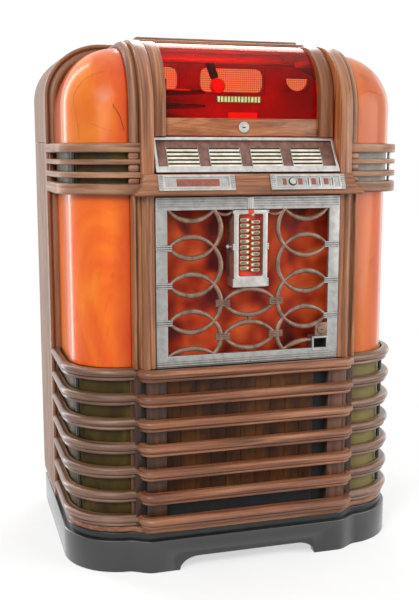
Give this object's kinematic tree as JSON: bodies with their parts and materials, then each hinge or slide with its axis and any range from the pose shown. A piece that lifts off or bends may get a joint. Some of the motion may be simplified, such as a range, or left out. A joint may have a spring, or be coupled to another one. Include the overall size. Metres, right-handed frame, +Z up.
{
  "type": "jukebox",
  "caption": "Floor-standing record jukebox: arched walnut cabinet, lit orange corner plastics, louvred loudspeaker front, cast grille door with push-button selector and a red window lid.",
  "frame": {"origin": "on the floor, below the middle of the object's box", "axes": "+X to the viewer's right, +Y to the back, +Z up"},
  "size_m": [0.957, 0.65, 1.409],
  "materials": {
    "walnut": "satin varnish",
    "side_veneer": "satin varnish",
    "black_lacquer": "worn satin black",
    "orange_plastic": "polished, lit from inside",
    "olive_plastic": "polished",
    "red_plastic": "clear red sheet",
    "cast_aluminium": "satin casting",
    "title_card": "matt",
    "plain_board": "unpolished",
    "speaker_paper": "matt",
    "shellac": "grooved gloss",
    "steel": "plain",
    "brass": "worn"
  },
  "bodies": {
    "cabinet": {"base_board": "walnut", "arch_trim": "walnut", "front_post_left": "walnut", "front_post_right": "walnut", "corner_bands_left": "walnut", "corner_bands_right": "walnut", "corner_louvres_left": "walnut", "corner_louvres_right": "walnut", "front_louvres": "walnut", "control_shelf": "walnut", "cabinet_shell": "side_veneer", "plinth": "black_lacquer", "upper_dome_left": "orange_plastic", "upper_dome_right": "orange_plastic", "lower_column_left": "orange_plastic", "lower_column_right": "orange_plastic", "inner_column_left": "olive_plastic", "inner_column_right": "olive_plastic", "grille_backing": "red_plastic", "title_frame": "cast_aluminium", "plate_left": "cast_aluminium", "plate_right": "cast_aluminium", "title_card": "title_card", "speaker_baffle": "plain_board", "mechanism_deck": "plain_board", "speaker": "speaker_paper", "record_magazine": "shellac", "amplifier": "steel", "drive_motor": "steel", "coin_mechanism": "steel"},
    "lid": {"lid_frame": "walnut", "lid_window": "red_plastic"},
    "lid_lock": {"lid_lock": "steel"},
    "grille_door": {"grille_door": "cast_aluminium", "selector_housing": "cast_aluminium"},
    "grille_lock": {"grille_lock": "steel"},
    "rear_door": {"rear_door": "plain_board"},
    "reject_button": {"reject_button": "brass"},
    "turntable": {"turntable": "steel"},
    "tone_arm": {"tone_arm": "steel"},
    "button_a01": {"button_a01": "brass"},
    "button_a02": {"button_a02": "brass"},
    "button_a03": {"button_a03": "brass"},
    "button_a04": {"button_a04": "brass"},
    "button_a05": {"button_a05": "brass"},
    "button_a06": {"button_a06": "brass"},
    "button_a07": {"button_a07": "brass"},
    "button_a08": {"button_a08": "brass"},
    "button_a09": {"button_a09": "brass"},
    "button_a10": {"button_a10": "brass"},
    "button_b01": {"button_b01": "brass"},
    "button_b02": {"button_b02": "brass"},
    "button_b03": {"button_b03": "brass"},
    "button_b04": {"button_b04": "brass"},
    "button_b05": {"button_b05": "brass"},
    "button_b06": {"button_b06": "brass"},
    "button_b07": {"button_b07": "brass"},
    "button_b08": {"button_b08": "brass"},
    "button_b09": {"button_b09": "brass"},
    "button_b10": {"button_b10": "brass"}
  },
  "joints": [
    {"name": "lid_hinge", "type": "hinge", "parent": "cabinet", "child": "lid", "pos_m": [0, 0.049, 1.401], "axis": [-1, 0, 0], "range_deg": [0, 75]},
    {"name": "lid_lock_turn", "type": "hinge", "parent": "lid", "child": "lid_lock", "pos_m": [0, -0.237, 1.162], "axis": [0, 1, 0], "range_deg": [0, 90]},
    {"name": "grille_door_hinge", "type": "hinge", "parent": "cabinet", "child": "grille_door", "pos_m": [-0.252, -0.297, 0.55], "axis": [0, 0, -1], "range_deg": [0, 95]},
    {"name": "grille_lock_turn", "type": "hinge", "parent": "grille_door", "child": "grille_lock", "pos_m": [0.204, -0.294, 0.63], "axis": [0, 1, 0], "range_deg": [0, 90]},
    {"name": "rear_door_hinge", "type": "hinge", "parent": "cabinet", "child": "rear_door", "pos_m": [-0.459, 0.3235, 0.125], "axis": [0, 0, 1], "range_deg": [0, 100]},
    {"name": "turntable_spin", "type": "hinge", "parent": "cabinet", "child": "turntable", "pos_m": [0.125, 0.005, 1.0703], "axis": [0, 0, 1], "continuous": true},
    {"name": "tone_arm_swing", "type": "hinge", "parent": "cabinet", "child": "tone_arm", "pos_m": [0.215, 0.175, 1.0703], "axis": [0, 0, -1], "range_deg": [0, 35]},
    {"name": "reject_press", "type": "slide", "parent": "cabinet", "child": "reject_button", "axis": [0, 0.9181, -0.3964], "range_m": [0, 0.004], "stiffness_N_per_m": 300},
    {"name": "button_a01_press", "type": "slide", "parent": "grille_door", "child": "button_a01", "axis": [0, 1, 0], "range_m": [0, 0.006], "stiffness_N_per_m": 300},
    {"name": "button_a02_press", "type": "slide", "parent": "grille_door", "child": "button_a02", "axis": [0, 1, 0], "range_m": [0, 0.006], "stiffness_N_per_m": 300},
    {"name": "button_a03_press", "type": "slide", "parent": "grille_door", "child": "button_a03", "axis": [0, 1, 0], "range_m": [0, 0.006], "stiffness_N_per_m": 300},
    {"name": "button_a04_press", "type": "slide", "parent": "grille_door", "child": "button_a04", "axis": [0, 1, 0], "range_m": [0, 0.006], "stiffness_N_per_m": 300},
    {"name": "button_a05_press", "type": "slide", "parent": "grille_door", "child": "button_a05", "axis": [0, 1, 0], "range_m": [0, 0.006], "stiffness_N_per_m": 300},
    {"name": "button_a06_press", "type": "slide", "parent": "grille_door", "child": "button_a06", "axis": [0, 1, 0], "range_m": [0, 0.006], "stiffness_N_per_m": 300},
    {"name": "button_a07_press", "type": "slide", "parent": "grille_door", "child": "button_a07", "axis": [0, 1, 0], "range_m": [0, 0.006], "stiffness_N_per_m": 300},
    {"name": "button_a08_press", "type": "slide", "parent": "grille_door", "child": "button_a08", "axis": [0, 1, 0], "range_m": [0, 0.006], "stiffness_N_per_m": 300},
    {"name": "button_a09_press", "type": "slide", "parent": "grille_door", "child": "button_a09", "axis": [0, 1, 0], "range_m": [0, 0.006], "stiffness_N_per_m": 300},
    {"name": "button_a10_press", "type": "slide", "parent": "grille_door", "child": "button_a10", "axis": [0, 1, 0], "range_m": [0, 0.006], "stiffness_N_per_m": 300},
    {"name": "button_b01_press", "type": "slide", "parent": "grille_door", "child": "button_b01", "axis": [0, 1, 0], "range_m": [0, 0.006], "stiffness_N_per_m": 300},
    {"name": "button_b02_press", "type": "slide", "parent": "grille_door", "child": "button_b02", "axis": [0, 1, 0], "range_m": [0, 0.006], "stiffness_N_per_m": 300},
    {"name": "button_b03_press", "type": "slide", "parent": "grille_door", "child": "button_b03", "axis": [0, 1, 0], "range_m": [0, 0.006], "stiffness_N_per_m": 300},
    {"name": "button_b04_press", "type": "slide", "parent": "grille_door", "child": "button_b04", "axis": [0, 1, 0], "range_m": [0, 0.006], "stiffness_N_per_m": 300},
    {"name": "button_b05_press", "type": "slide", "parent": "grille_door", "child": "button_b05", "axis": [0, 1, 0], "range_m": [0, 0.006], "stiffness_N_per_m": 300},
    {"name": "button_b06_press", "type": "slide", "parent": "grille_door", "child": "button_b06", "axis": [0, 1, 0], "range_m": [0, 0.006], "stiffness_N_per_m": 300},
    {"name": "button_b07_press", "type": "slide", "parent": "grille_door", "child": "button_b07", "axis": [0, 1, 0], "range_m": [0, 0.006], "stiffness_N_per_m": 300},
    {"name": "button_b08_press", "type": "slide", "parent": "grille_door", "child": "button_b08", "axis": [0, 1, 0], "range_m": [0, 0.006], "stiffness_N_per_m": 300},
    {"name": "button_b09_press", "type": "slide", "parent": "grille_door", "child": "button_b09", "axis": [0, 1, 0], "range_m": [0, 0.006], "stiffness_N_per_m": 300},
    {"name": "button_b10_press", "type": "slide", "parent": "grille_door", "child": "button_b10", "axis": [0, 1, 0], "range_m": [0, 0.006], "stiffness_N_per_m": 300}
  ]
}
